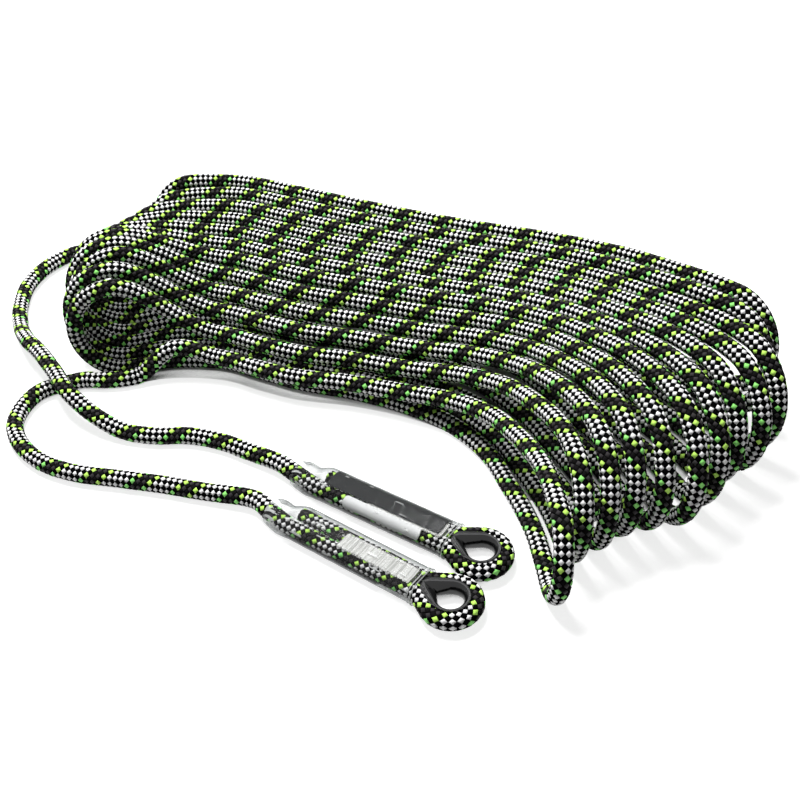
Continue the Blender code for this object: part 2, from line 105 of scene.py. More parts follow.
# past that: distance from there, then the sides of the standing rope and of the film
SLEEVE_DIP = (0.0045, -0.0045, 0.0015)
SLEEVE_MOUTH = (0.0170, -0.0025, 0.0035)
SLEEVE_WALL = 0.0005
TAIL_LENGTH = {"a": 0.1105, "b": 0.109}
TAG_THICK = 0.0003
TAG_A = (0.026, 0.079)  # start and length
TAG_B = (0.043, 0.065)
LABEL_A = (0.035, 0.054)
PAIR_HALF = 0.5 * SEWN_ROPE_D + FIT_GAP + 0.5 * STITCH_WEB
STITCH_INNER = 0.5 * SEWN_ROPE_D + FIT_GAP
TAG_INNER = STITCH_INNER + STITCH_THICK + FIT_GAP
SLEEVE_INNER = TAG_INNER + TAG_THICK + FIT_GAP
NECK_INNER = 0.5 * ROPE_D + FIT_GAP
EYE_HEIGHT = SLEEVE_INNER + SLEEVE_WALL + REST_GAP
GROOVE_RADIUS = 0.5 * EYE_ROPE_D + FIT_GAP
LOWER_Z = 0.5 * ROPE_D - FLOOR_CUT  # heights of the centreline in the hank and outside it
FREE_Z = 0.5 * ROPE_D + REST_GAP

# how finely the line is drawn
STATION_STEPS = 16
ENTRY_STEPS, EXIT_STEPS = 14, 20
RUN_STEP = 0.05  # stations
FOLD_POINTS = 40
ROUTE_STEPS = 12
EYE_ARC_STEPS, EYE_NOSE_STEPS = 48, 6
SEWN_SPANS = 3


def smoothstep(low, high, value):
    share = min(1.0, max(0.0, (value - low) / (high - low)))
    return share * share * (3.0 - 2.0 * share)


def placed(point, z=0.0):
    return Vector((point[0] - CENTRE[0], point[1] - CENTRE[1], z))


def spline_through(points, per_span):
    points = [Vector(p) for p in points]
    ends = [2 * points[0] - points[1]] + points + [2 * points[-1] - points[-2]]
    made = []
    for index in range(1, len(ends) - 2):
        before, start, stop, after = ends[index - 1:index + 3]
        for step in range(per_span):
            t = step / per_span
            made.append(0.5 * (2 * start + (stop - before) * t
                               + (2 * before - 5 * start + 4 * stop - after) * t * t
                               + (3 * start - before - 3 * stop + after) * t ** 3))
    return made + [points[-1]]


FRONT_LINE = spline_through([placed(p) for p in FRONT_EDGE], STATION_STEPS)
BACK_LINE = spline_through([placed(p) for p in BACK_EDGE], STATION_STEPS)


def at_station(line, t):
    index = min(max(int(t * STATION_STEPS), 0), len(line) - 2)
    return line[index].lerp(line[index + 1], t * STATION_STEPS - index)


def on_sheet(t, lane, z):
    front, back = at_station(FRONT_LINE, t), at_station(BACK_LINE, t)
    lean = (back - front).normalized() * LANE_LEAN * (z - LOWER_Z)
    return front.lerp(back, lane / LAST_LANE) + lean + Vector((0.0, 0.0, z))


def move_along(lane, t, distance):
    step = math.copysign(1.0 / STATION_STEPS, distance)
    left = abs(distance)
    here = on_sheet(t, lane, LOWER_Z)
    while True:
        ahead = on_sheet(t + step, lane, LOWER_Z)
        run = (ahead - here).length
        if run >= left:
            return t + step * left / run
        left -= run
        t += step
        here = ahead


def upper_z(lane, t, left, right):
    waist = ROPE_D * UPPER_LOWEST[lane]
    if t < WAIST[0]:
        top = LOWER_Z + 2.0 * ROPE_D * LEFT_FOLDS[lane]
        return waist + (top - waist) * (1.0 - smoothstep(left, WAIST[0], t))
    top = LOWER_Z + 2.0 * ROPE_D * RIGHT_FOLDS[lane]
    return waist + (top - waist) * smoothstep(WAIST[1], right, t)


def lower_z(lane, t):
    middle = 0.5 * (LOWER_FIRST + LOWER_LAST)
    away = abs(t - middle) / (middle - LOWER_LAST)
    top = ROPE_D * LOWER_HIGHEST[lane]
    return LOWER_Z + max(0.0, top - LOWER_Z) * (1.0 - smoothstep(0.0, 1.0, away))


def fold_points(lane, tip, radius, inward):
    """The centre's station and the points of a half turn, from the top down."""
    centre = move_along(lane, tip, inward * radius)
    made = []
    for k in range(FOLD_POINTS):
        turn = math.pi * (0.5 - k / (FOLD_POINTS - 1))
        t = move_along(lane, centre, -inward * radius * math.cos(turn))
        made.append(on_sheet(t, lane, LOWER_Z + radius * (1.0 + math.sin(turn))))
    return centre, made


def steps(first, last):
    """Stations between two others, without them."""
    count = max(2, int(abs(last - first) / RUN_STEP))
    return [first + (last - first) * k / count for k in range(1, count)]


def hank_line():
    """The hank's exact line from free end B to free end A."""
    made = []
    for k in range(ENTRY_STEPS + 1):
        t = move_along(0, HANK_END_B, ENTRY_RUN * k / ENTRY_STEPS) if k else HANK_END_B
        made.append(on_sheet(t, 0, FREE_Z))
    for lane in range(LANES):
        left = move_along(0, HANK_END_B, ENTRY_RUN)
        if lane:
            left, fold = fold_points(lane, LEFT_TIPS[lane], ROPE_D * LEFT_FOLDS[lane], 1.0)
            made += reversed(fold)
        right, fold = fold_points(lane, RIGHT_TIPS[lane], ROPE_D * RIGHT_FOLDS[lane], -1.0)
        for t in steps(left, right):
            z = upper_z(lane, t, left, right)
            if lane == 0 and t < WAIST[0]:
                z = FREE_Z + (z - FREE_Z) * smoothstep(left, WAIST[0], t)
            made.append(on_sheet(t, lane, z))
        made += fold
        last = lane == LAST_LANE
        if last:
            stop = move_along(LANES, HANK_END_A, EXIT_RUN)
        else:
            stop = move_along(lane + 1, LEFT_TIPS[lane + 1], ROPE_D * LEFT_FOLDS[lane + 1])
        for t in steps(right, stop):
            across = 1.0 - smoothstep(CROSSOVER[0], CROSSOVER[1], t)
            z = lower_z(lane, t)
            if last:
                z += (FREE_Z - LOWER_Z) * smoothstep(-LOWER_LAST, -stop, -t)
            made.append(on_sheet(t, lane + across, z))
    for k in range(EXIT_STEPS + 1):
        distance = EXIT_RUN * (1.0 - k / EXIT_STEPS)
        t = move_along(LANES, HANK_END_A, distance) if distance else HANK_END_A
        made.append(on_sheet(t, LANES, FREE_Z))
    return made


def teardrop(radius, throat, nose, arc_count, nose_count):
    """A circle with a pointed end, which lies on the -x side."""
    lean = math.asin((radius - nose) / throat)
    made = []
    for k in range(arc_count + 1):
        turn = (0.5 * math.pi + lean) * (1.0 - 2.0 * k / arc_count)
        made.append((radius * math.cos(turn), radius * math.sin(turn)))
    for k in range(nose_count + 1):
        turn = -(0.5 * math.pi + lean) - (math.pi - 2.0 * lean) * k / nose_count
        made.append((nose * math.cos(turn) - throat, nose * math.sin(turn)))
    return made


def eye_path(side):
    """x, y and the rope's width in an eye's own frame, from the neck to the tail's end."""
    offset = GROOVE_RADIUS
    outline = teardrop(SEAT_RADIUS + offset, THROAT, NOSE_RADIUS + offset,
                       EYE_ARC_STEPS, EYE_NOSE_STEPS)
    round_end = [(x, y, EYE_ROPE_D) for x, y in outline[:EYE_ARC_STEPS + 1]]
    wide = SLEEVE_START + SLEEVE_WIDE[side]
    sewn = [STITCH_START + STITCH_LENGTH * k / SEWN_SPANS for k in range(SEWN_SPANS + 1)]
    lean = math.asin((SEAT_RADIUS - NOSE_RADIUS) / THROAT)
    nose = NOSE_RADIUS + offset
    flank = (-THROAT - nose * math.sin(lean), nose * math.cos(lean), EYE_ROPE_D)
    throat = [(flank[0] - 0.5 * ROPE_D, PAIR_HALF, SEWN_ROPE_D), flank]
    front = [(-wide - SLEEVE_MOUTH[0], SLEEVE_MOUTH[1], ROPE_D),
             (-wide - SLEEVE_DIP[0], SLEEVE_DIP[1], EYE_ROPE_D),
             (-wide, -PAIR_HALF, EYE_ROPE_D)]
    front += [(-back, -PAIR_HALF, SEWN_ROPE_D) for back in reversed(sewn)]
    front += [(x, -y, width) for x, y, width in throat]
    tail = [(x, y, width) for x, y, width in reversed(throat)]
    tail += [(-back, PAIR_HALF, SEWN_ROPE_D) for back in sewn]
    tail += [(-TAIL_LENGTH[side], PAIR_HALF, SEWN_ROPE_D)]
    return front + list(reversed(round_end)) + tail


def route_height(point, over):
    if not over:
        return FREE_Z
    away = math.dist(point, CROSSING)
    rise = ROPE_D + CROSSING_GAP
    top_reach = CROSSING_TOP * CROSSING_REACH
    return FREE_Z + rise * (1.0 - smoothstep(top_reach, CROSSING_REACH, away))


def eye_place(side):
    centre, heading = EYES[side]
    return Matrix.Translation(placed(centre, EYE_HEIGHT)) @ Matrix.Rotation(heading, 4, "Z")


def end_line(side, hank_end, before_end):
    """Points and widths of a free end, from the hank to the tail's cut end."""
    place = eye_place(side)
    local = eye_path(side)
    in_eye = [place @ Vector((x, y, 0.0)) for x, y, _ in local]
    out = (hank_end - before_end).normalized()
    route = ROUTE_A if side == "a" else ROUTE_B
    floor = [placed(p, route_height(p, side == "a")) for p in route]
    into = (in_eye[1] - in_eye[0]).normalized()
    approach = in_eye[0] - into * EYE_APPROACH * ROPE_D
    line = spline_through([hank_end, hank_end + out * ROPE_D] + floor
                          + [approach, in_eye[0]], ROUTE_STEPS)[1:-1]
    return line + in_eye, [ROPE_D] * len(line) + [width for _, _, width in local]


hank = hank_line()
end_a, width_a = end_line("a", hank[-1], hank[-2])
end_b, width_b = end_line("b", hank[0], hank[1])
whole = np.array([tuple(p) for p in end_b[::-1] + hank + end_a])
widths = np.array(width_b[::-1] + [ROPE_D] * len(hank) + width_a)

# the whole rope, from the tail of end B to the tail of end A, in even steps
STEP = 0.00045
SAME_POINT = 1e-7
LINE_REACH = 0.0045  # reach of the smoothing, of the line and of the rope's width
WIDTH_REACH = 0.006
NO_TURN = 1e-18
runs = np.concatenate([[0.0], np.cumsum(np.linalg.norm(np.diff(whole, axis=0), axis=1))])
keep = np.concatenate([[True], np.diff(runs) > SAME_POINT])
cut_b, cut_a = runs[len(end_b)], runs[len(end_b) + len(hank) - 1]
total = runs[-1]
grid = np.arange(int(total / STEP) + 1) * STEP


def smoothed(values, reach):
    """Moving average along the line, which keeps both ends."""
    size = 2 * int(reach / STEP / 2) + 1
    side = size // 2
    head = 2 * values[:1] - values[side:0:-1]
    tail = 2 * values[-1:] - values[-2:-side - 2:-1]
    padded = np.concatenate([head, values, tail])
    sums = np.cumsum(np.concatenate([np.zeros_like(padded[:1]), padded]), axis=0)
    return (sums[size:] - sums[:-size]) / size


def carried_normals(points, tangents):
    """Normals along a line that don't turn about it, by double reflection."""
    made = np.zeros_like(points)
    first = np.cross(tangents[0], (0.0, 0.0, 1.0))
    made[0] = first / np.linalg.norm(first)
    for i in range(len(points) - 1):
        step = points[i + 1] - points[i]
        square = step @ step
        carried = made[i] - (2.0 / square) * (step @ made[i]) * step
        heading = tangents[i] - (2.0 / square) * (step @ tangents[i]) * step
        turn = tangents[i + 1] - heading
        square = turn @ turn
        if square > NO_TURN:
            carried = carried - (2.0 / square) * (turn @ carried) * turn
        carried = carried - (carried @ tangents[i + 1]) * tangents[i + 1]
        made[i + 1] = carried / np.linalg.norm(carried)
    return made


line = np.stack([np.interp(grid, runs[keep], whole[keep][:, k]) for k in range(3)], 1)
line = smoothed(smoothed(line, LINE_REACH), LINE_REACH)
width = smoothed(np.interp(grid, runs[keep], widths[keep])[:, None], WIDTH_REACH)
tangent = np.gradient(line, axis=0)
tangent /= np.linalg.norm(tangent, axis=1)[:, None]
normal = carried_normals(line, tangent)
binormal = np.cross(tangent, normal)
LAST_SPAN = len(grid) - 1.001  # just short of the last grid point


def along(values, s):
    """The grid's values at lengths s of the rope."""
    at = np.clip(s / STEP, 0.0, LAST_SPAN)
    i = at.astype(int)
    share = (at - i)[..., None]
    return values[i] * (1 - share) + values[i + 1] * share


def on_rope(s, angle, radius):
    """Points at lengths s and angles round the rope, radius for the full width."""
    wide = along(width, s)[..., 0] / ROPE_D * radius
    return along(line, s) + wide[..., None] * (np.cos(angle)[..., None] * along(normal, s)
                                               + np.sin(angle)[..., None] * along(binormal, s))


# Materials. Numbers in a call are the look itself: colour, roughness, specular level and bump.
BUMPED = ("ShaderNodeBsdfPrincipled", "ShaderNodeBsdfAnisotropic", "ShaderNodeFresnel")


def set_inputs(node, values):
    for key, value in values.items():
        node.inputs[key].default_value = value


def add_node(nodes, kind, values=None, operation=None):
    """A shader node with some of its inputs set."""
    node = nodes.new("ShaderNode" + kind)
    if operation:
        node.operation = operation
    set_inputs(node, values or {})
    return node


def new_material(name):
    made = bpy.data.materials.new(name)
    made.use_nodes = True
    return made, made.node_tree.nodes, made.node_tree.links


def add_bump(made, scale, strength, distance, stretch=(1.0, 1.0, 1.0), detail=2.0,
             source=("TexCoord", "Object")):
    """Noise through the bump, in the object's own space unless source says otherwise."""
    nodes, links = made.node_tree.nodes, made.node_tree.links
    place = add_node(nodes, source[0])
    mapping = add_node(nodes, "Mapping", {"Scale": stretch})
    noise = add_node(nodes, "TexNoise", {"Scale": scale, "Detail": detail})
    bump = add_node(nodes, "Bump", {"Strength": strength, "Distance": distance})
    links.new(place.outputs[source[1]], mapping.inputs["Vector"])
    links.new(mapping.outputs["Vector"], noise.inputs["Vector"])
    links.new(noise.outputs["Fac"], bump.inputs["Height"])
    for node in nodes:
        if node.bl_idname in BUMPED:
            links.new(bump.outputs["Normal"], node.inputs["Normal"])


def plain_material(name, colour, roughness, specular):
    made, nodes, links = new_material(name)
    set_inputs(nodes["Principled BSDF"], {"Base Color": (*colour, 1.0), "Roughness": roughness,
                                          "Specular IOR Level": specular})
    return made


def yarn_material(name, colour, roughness, specular):
    """Twisted yarn: constant colour, with fine fibres along the yarn in the bump."""
    made = plain_material(name, colour, roughness, specular)
    add_bump(made, 1.0, 0.35, 0.00025, (9.0, 1.6, 1.0), 3.0, ("UVMap", "UV"))
    return made


# The braid: eight rows of yarns round the rope, raised over a dark tube
ROWS = 8
PICK = 0.0038  # along the rope from one yarn of a row to the next
BRAID_SEED = 11
TUBE_SIDES = 16
TUBE_RADIUS = 0.0050
SUNK = 0.0049  # radius of a yarn's outer edge
YARN_U = np.array([-0.5, -0.41, 0.0, 0.41, 0.5])  # across a yarn, in cells
YARN_V = np.array([-0.5, -0.41, 0.41, 0.5])  # and along it
YARN_RADIUS, YARN_CREASE = 0.0056, 0.82  # top of a carrier's yarn, and its middle
BETWEEN_RADIUS, BETWEEN_CREASE = 0.0055, 0.55  # the same for the yarns between them
LIFT_SPREAD = 0.010
SWELL_SPREAD = 0.03
PATTERN_REACH = 50.0  # the fibres' noise is taken from anywhere within this
SOFT_SHARE = 0.3  # of the white yarns
PAINTED_SHADE_BELOW, PAINTED_SHADE_SPREAD = 0.42, 0.30  # upward lean under which a lime cell takes the painted shade, a greener lime
PROBE = 0.001
# places in YARNS; white is followed by its softer white, lime by its copy with painted shade
BLACK, CHARCOAL, WHITE, WHITE_SOFT, LIME, LIME_PAINTED_SHADE, SOOT = range(7)
CARRIERS = np.array([LIME, WHITE, WHITE, WHITE, WHITE, LIME, CHARCOAL, CHARCOAL])
SWELLS = np.array([1.0, 0.86, 0.90, 0.90, 1.0, 1.0])  # by colour
BAND_SWELL, OTHER_SWELL = 0.96, 1.06  # between carriers, in the dark band or not
YARNS = [
    ("yarn_black", (0.0022, 0.0022, 0.0025), 0.50, 0.0),
    ("yarn_charcoal", (0.040, 0.037, 0.039), 0.45, 0.06),
    ("yarn_white", (0.92, 0.92, 0.92), 0.55, 0.30),
    ("yarn_white_soft", (0.82, 0.82, 0.83), 0.55, 0.30),
    ("yarn_lime", (0.56, 0.94, 0.16), 0.55, 0.30),
    # lime with painted shade: greener, for the cells that face down
    ("yarn_lime_painted_shade", (0.30, 0.84, 0.20), 0.55, 0.30),
    ("yarn_soot", (0.009, 0.0085, 0.009), 0.50, 0.0),
]
yarn_materials = [yarn_material(*one) for one in YARNS]


def quad_mesh(name, points, faces, slots, coords):
    """A smooth mesh of four-sided faces, with yarn materials and coordinates."""
    mesh = bpy.data.meshes.new(name)
    mesh.vertices.add(len(points))
    mesh.vertices.foreach_set("co", points.astype(np.float32).ravel())
    mesh.loops.add(faces.size)
    mesh.loops.foreach_set("vertex_index", faces.astype(np.int32).ravel())
    mesh.polygons.add(len(faces))
    mesh.polygons.foreach_set("loop_start", (np.arange(len(faces)) * 4).astype(np.int32))
    mesh.polygons.foreach_set("material_index", slots.astype(np.int32))
    mesh.update(calc_edges=True)
    layer = mesh.uv_layers.new(name="yarn")
    layer.data.foreach_set("uv", coords[faces.ravel()].astype(np.float32).ravel())
    for one in yarn_materials:
        mesh.materials.append(one)
    mesh.shade_smooth()
    return mesh


def braid(name, first, last):
    """The sheath between two lengths of the rope."""
    rng = np.random.default_rng(BRAID_SEED)
    points, faces, slots, coords = [], [], [], []
    offset = 0
    picks = np.arange(math.ceil(first / PICK), math.floor(last / PICK) + 1)

    # the tube under the yarns
    rings = np.unique(np.round(np.concatenate([[first], picks * PICK, [last]]), 7))
    turn = np.arange(TUBE_SIDES) * 2 * math.pi / TUBE_SIDES
    s, a = np.meshgrid(rings, turn, indexing="ij")
    points.append(on_rope(s, a, TUBE_RADIUS).reshape(-1, 3))
    coords.append(np.stack([a, s / PICK], -1).reshape(-1, 2))
    k = np.arange(len(rings) - 1)[:, None] * TUBE_SIDES
    i = np.arange(TUBE_SIDES)[None, :]
    j = (i + 1) % TUBE_SIDES
    quads = np.stack([k + i, k + j, k + TUBE_SIDES + j, k + TUBE_SIDES + i], -1).reshape(-1, 4)
    faces.append(quads)
    slots.append(np.full(len(quads), BLACK))
    offset += len(rings) * TUBE_SIDES

    def yarns(q, r, along_yarn, across_yarn, swell, high, crease, colour):
        """Raised patches at picks q and rows r, turned to run along_yarn."""
        nonlocal offset
        uu, vv = np.meshgrid(YARN_U, YARN_V, indexing="ij")
        rise = np.array([0.0, 1.0, crease, 1.0, 0.0])[:, None] * np.array([0.0, 1.0, 1.0, 0.0])
        swell = swell[:, None, None]
        row = (uu * across_yarn[0] + vv * along_yarn[0]) * swell
        pick = (uu * across_yarn[1] + vv * along_yarn[1]) * swell
        s = (q[:, None, None] + pick) * PICK
        angle = (r[:, None, None] + row) * (2 * math.pi / ROWS)
        lift = high * (1.0 + LIFT_SPREAD * rng.standard_normal(len(q)))[:, None, None]
        radius = np.broadcast_to(SUNK + (lift - SUNK) * rise, s.shape)
        points.append(on_rope(s, angle, radius).reshape(-1, 3))
        shift = rng.random((len(q), 1, 1, 2)) * PATTERN_REACH
        coords.append((np.stack([uu, vv], -1)[None] + shift).reshape(-1, 2))
        u_count, v_count = uu.shape
        cell = (np.arange(u_count - 1)[:, None] * v_count + np.arange(v_count - 1)[None, :])[None]
        a = offset + np.arange(len(q))[:, None, None] * uu.size + cell
        quads = np.stack([a, a + v_count, a + v_count + 1, a + 1], -1).reshape(-1, 4)
        if across_yarn[0] * along_yarn[1] - across_yarn[1] * along_yarn[0] < 0:
            quads = quads[:, ::-1]
        faces.append(quads)
        slots.append(np.repeat(colour, cell.size))
        offset += len(q) * uu.size

    # the carriers' yarns
    q, r = np.meshgrid(picks, np.arange(ROWS), indexing="ij")
    q, r = q.ravel(), r.ravel()
    colour = CARRIERS[(q + r) % ROWS]
    outward = [on_rope(q * PICK, r * (2 * math.pi / ROWS), np.full(len(q), reach))
               for reach in (0.0, PROBE)]
    # lime cells that face down take the lime with painted shade; white cells take the softer
    # white at random
    above = (outward[1] - outward[0])[:, 2] / PROBE
    in_painted_shade = above + PAINTED_SHADE_SPREAD * rng.standard_normal(len(q)) < PAINTED_SHADE_BELOW
    soft = rng.random(len(q)) < SOFT_SHARE
    colour = colour + np.where(colour == LIME, in_painted_shade, (colour == WHITE) & soft)
    swell = SWELLS[colour] + SWELL_SPREAD * rng.standard_normal(len(q))
    yarns(q.astype(float), r.astype(float), (0.5, 0.5), (-0.5, 0.5), swell,
          YARN_RADIUS, YARN_CREASE, colour)

    # the dark yarns between them, which run the other way
    band = CARRIERS[(q + r + 1) % ROWS] == CHARCOAL
    q, r = q + 0.5, r + 0.5
    inside = q * PICK < last
    q, r, band = q[inside], r[inside], band[inside]
    swell = np.where(band, BAND_SWELL, OTHER_SWELL) + SWELL_SPREAD * rng.standard_normal(len(q))
    yarns(q, r, (-0.5, 0.5), (0.5, 0.5), swell,
          BETWEEN_RADIUS, BETWEEN_CREASE, np.where(band, SOOT, BLACK))

    points = np.concatenate(points)
    points[:, 2] = np.maximum(points[:, 2], 0.0)
    mesh = quad_mesh(name, points, np.concatenate(faces), np.concatenate(slots),
                     np.concatenate(coords))
    made = bpy.data.objects.new(name, mesh)
    bpy.context.collection.objects.link(made)
    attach(made, "root")
    return made


pieces = {"a": [], "b": []}
hank_piece = braid("hank_braid", cut_b, cut_a)
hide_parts("hank")
end_pieces = {"b": braid("rope_end_b_braid", 0.0, cut_b),
              "a": braid("rope_end_a_braid", cut_a, total)}
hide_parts("rope_end_a")
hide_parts("rope_end_b")

# The sewn eyes
# the film's see-through tint head-on and edge-on; the grey edge-on is a painted dark reflection
FILM_FACING, FILM_EDGE_ON = (0.98, 0.98, 0.98, 1.0), (0.45, 0.47, 0.47, 1.0)
FILM_EDGE_BLEND = 0.35
FILM_GLANCE = (0.014, 0.8)  # reflection that counts as none, and as full


def film_material(name, milky_share):
    """Clear film: see-through, with a sharp reflection on its outer side and a milky share: a
    little haze in the film itself, more where it stands for a painted highlight.
    """
    made, nodes, links = new_material(name)
    nodes.remove(nodes["Principled BSDF"])
    clear = add_node(nodes, "BsdfTransparent")
    # greyer where the film is seen edge-on: painted dark reflection
    edge = add_node(nodes, "LayerWeight", {"Blend": FILM_EDGE_BLEND})
    tint = nodes.new("ShaderNodeMix")
    tint.data_type = "RGBA"
    set_inputs(tint, {6: FILM_FACING, 7: FILM_EDGE_ON})
    links.new(edge.outputs["Facing"], tint.inputs[0])
    links.new(tint.outputs[2], clear.inputs["Color"])
    milk = add_node(nodes, "BsdfDiffuse", {"Color": (0.85, 0.87, 0.86, 1.0)})
    dull = add_node(nodes, "MixShader", {"Fac": milky_share})
    links.new(clear.outputs[0], dull.inputs[1])
    links.new(milk.outputs[0], dull.inputs[2])
    fresnel = add_node(nodes, "Fresnel", {"IOR": 1.30})
    glance = add_node(nodes, "MapRange", {"From Min": FILM_GLANCE[0], "From Max": FILM_GLANCE[1]})
    side = add_node(nodes, "NewGeometry")
    front = add_node(nodes, "Math", {0: 1.0}, "SUBTRACT")
    share = add_node(nodes, "Math", None, "MULTIPLY")
    links.new(fresnel.outputs[0], glance.inputs["Value"])
    links.new(side.outputs["Backfacing"], front.inputs[1])
    links.new(glance.outputs["Result"], share.inputs[0])
    links.new(front.outputs[0], share.inputs[1])
    shine = add_node(nodes, "BsdfAnisotropic", {"Color": (1.0, 1.0, 1.0, 1.0), "Roughness": 0.09})
    both = add_node(nodes, "MixShader")
    links.new(share.outputs[0], both.inputs["Fac"])
    links.new(dull.outputs[0], both.inputs[1])
    links.new(shine.outputs[0], both.inputs[2])
    links.new(both.outputs[0], nodes["Material Output"].inputs["Surface"])
    add_bump(made, 130.0, 0.2, 0.0003)
    return made


black_plastic = plain_material("thimble_black", (0.005, 0.005, 0.0055), 0.15, 0.45)
add_bump(black_plastic, 260.0, 0.25, 0.0004)
# the thimble's lip edges, lighter and glossier than its body: a painted highlight
edge_painted_highlight = plain_material("thimble_edge_painted_highlight", (0.055, 0.055, 0.057), 0.22, 0.60)
add_bump(edge_painted_highlight, 420.0, 0.12, 0.0002)
thread_white = plain_material("thread_white", (0.86, 0.86, 0.84), 0.55, 0.4)
add_bump(thread_white, 2400.0, 0.3, 0.0001)
thread_shade = plain_material("thread_shade", (0.62, 0.62, 0.60), 0.60, 0.3)
add_bump(thread_shade, 2400.0, 0.3, 0.0001)
satin = plain_material("tag_satin", (0.017, 0.018, 0.019), 0.36, 0.30)
add_bump(satin, 260.0, 0.10, 0.0003, (0.35, 1.0, 1.0))
paper = plain_material("label_white", (0.95, 0.955, 0.955), 0.35, 0.5)
add_bump(paper, 300.0, 0.10, 0.0002)
film = {"a": film_material("film_a", 0.003), "b": film_material("film_b", 0.008)}
# milky rolled rings: partly the rolled film's own whiteness, partly a painted highlight
film_rim_milk_and_highlight = film_material("film_rim_milk_and_highlight", 0.45)
# milky streaks along the film: painted highlights
film_streak_painted_highlight = film_material("film_streak_painted_highlight", 0.30)
SHARP_FROM = math.radians(50)


def sewn_piece(name, side, points, faces, material, node):
    """A piece in an eye's own frame that takes the place of a CAD node."""
    mesh = bpy.data.meshes.new(name)
    place = np.array(eye_place(side))
    points = np.asarray(points) @ place[:3, :3].T + place[:3, 3]
    mesh.from_pydata(points.tolist(), [], [tuple(int(i) for i in f) for f in faces])
    mesh.update()
    mesh.materials.append(material)
    mesh.shade_smooth()
    mesh.set_sharp_from_angle(angle=SHARP_FROM)
    made = bpy.data.objects.new(name, mesh)
    bpy.context.collection.objects.link(made)
    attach(made, "root")
    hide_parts(node)
    pieces[side].append(made)
    return made


def signed_volume(points, faces):
    volume = 0.0
    for f in faces:
        for k in range(1, len(f) - 1):
            volume += np.dot(points[f[0]], np.cross(points[f[k]], points[f[k + 1]]))
    return volume


def lofted(rings, closed):
    """Points and outward faces through rings of equal count."""
    points = np.concatenate([np.asarray(r, float) for r in rings])
    n, m = len(rings[0]), len(rings)
    faces = []
    for k in range(m if closed else m - 1):
        here, there = k * n, ((k + 1) % m) * n
        for i in range(n):
            j = (i + 1) % n
            faces.append((here + i, here + j, there + j, there + i))
    if not closed:
        faces.append(tuple(reversed(range(n))))
        faces.append(tuple(range((m - 1) * n, m * n)))
    if signed_volume(points, faces) < 0:
        faces = [f[::-1] for f in faces]
    return points, faces


THIMBLE_STEPS = (64, 24)  # round the arc and round the nose
GROOVE_RINGS, HOLE_RINGS = 13, 23
LIP_ROUND = 0.0003  # depth of the lips' rounded edges
LIP_OUT, LIP_IN = 0.0001, -0.0001  # what the edge stands out by, below the face and at it
LIP_TAIL = (0.5, 0.002, 0.013)  # the lips widen by this share, between these distances
HOLE_ROUND = 0.0002
HOLE_THICKER = {"a": 0.0004, "b": 0.0020}  # the inner wall at the hole's point
HOLE_NOSE_FLARE = 0.0012
CREASE_WIDTH, CREASE_DEPTH, CREASE_FROM = 0.00055, 0.0013, 0.6  # groove in the hole's point
EDGE_RINGS = (GROOVE_RINGS, GROOVE_RINGS + 2)  # the upper lip's outer and inner edge, which take the painted highlight


def thimble(side):
    """A grooved ring of even wall, which bulges into its hole at half height."""
    top = THIMBLE_HALF_HEIGHT
    lip_z = top - LIP
    lip_out = GROOVE_RADIUS - math.sqrt(GROOVE_RADIUS ** 2 - lip_z * lip_z)

    def grown(more):
        return teardrop(SEAT_RADIUS + more, THROAT, NOSE_RADIUS + more, *THIMBLE_STEPS)

    def lip_ring(z, more):
        share, near, far = LIP_TAIL
        return [(x, y * (1.0 + share * smoothstep(near, far, -x)), z)
                for x, y in grown(lip_out + more)]

    rings = []
    for z in np.linspace(-lip_z, lip_z, GROOVE_RINGS):
        out = GROOVE_RADIUS - math.sqrt(GROOVE_RADIUS ** 2 - z * z)
        rings.append([(x, y, z) for x, y in grown(out)])
    rings += [lip_ring(top - LIP_ROUND, LIP_OUT), lip_ring(top, LIP_IN)]
    wall = SEAT_RADIUS - EYE_HOLE_RADIUS
    reach = GROOVE_RADIUS + wall
    most = reach - math.sqrt(reach ** 2 - top ** 2)
    hole_z = np.linspace(top - LIP_ROUND, LIP_ROUND - top, HOLE_RINGS)
    for z in np.concatenate([[top], hole_z, [-top]]):
        wide = reach - math.sqrt(reach ** 2 - z * z)
        if abs(z) == top:
            wide += HOLE_ROUND
        share = wide / most
        inner_throat = HOLE_THROAT - HOLE_THICKER[side] * (1.0 - share)
        throat = inner_throat + (THROAT - inner_throat) * share
        nose = HOLE_NOSE_RADIUS + HOLE_NOSE_FLARE * share
        ring = []
        for x, y in teardrop(EYE_HOLE_RADIUS + wide, throat, nose, *THIMBLE_STEPS):
            cut = math.exp(-(y / CREASE_WIDTH) ** 2) if x < -CREASE_FROM * throat else 0.0
            ring.append((x - CREASE_DEPTH * cut, y, z))
        rings.append(ring)
    rings += [lip_ring(-top, LIP_IN), lip_ring(LIP_ROUND - top, LIP_OUT)]
    points, faces = lofted(rings, True)
    made = sewn_piece("thimble_%s_shell" % side, side, points, faces, black_plastic,
                      "thimble_" + side)
    # faces along the upper lip's edges get the painted highlight
    made.data.materials.append(edge_painted_highlight)
    per_ring = len(rings[0])
    for face in made.data.polygons:
        near = [i // per_ring for i in face.vertices]
        face.material_index = int(min(near) in EDGE_RINGS and max(near) - min(near) == 1)


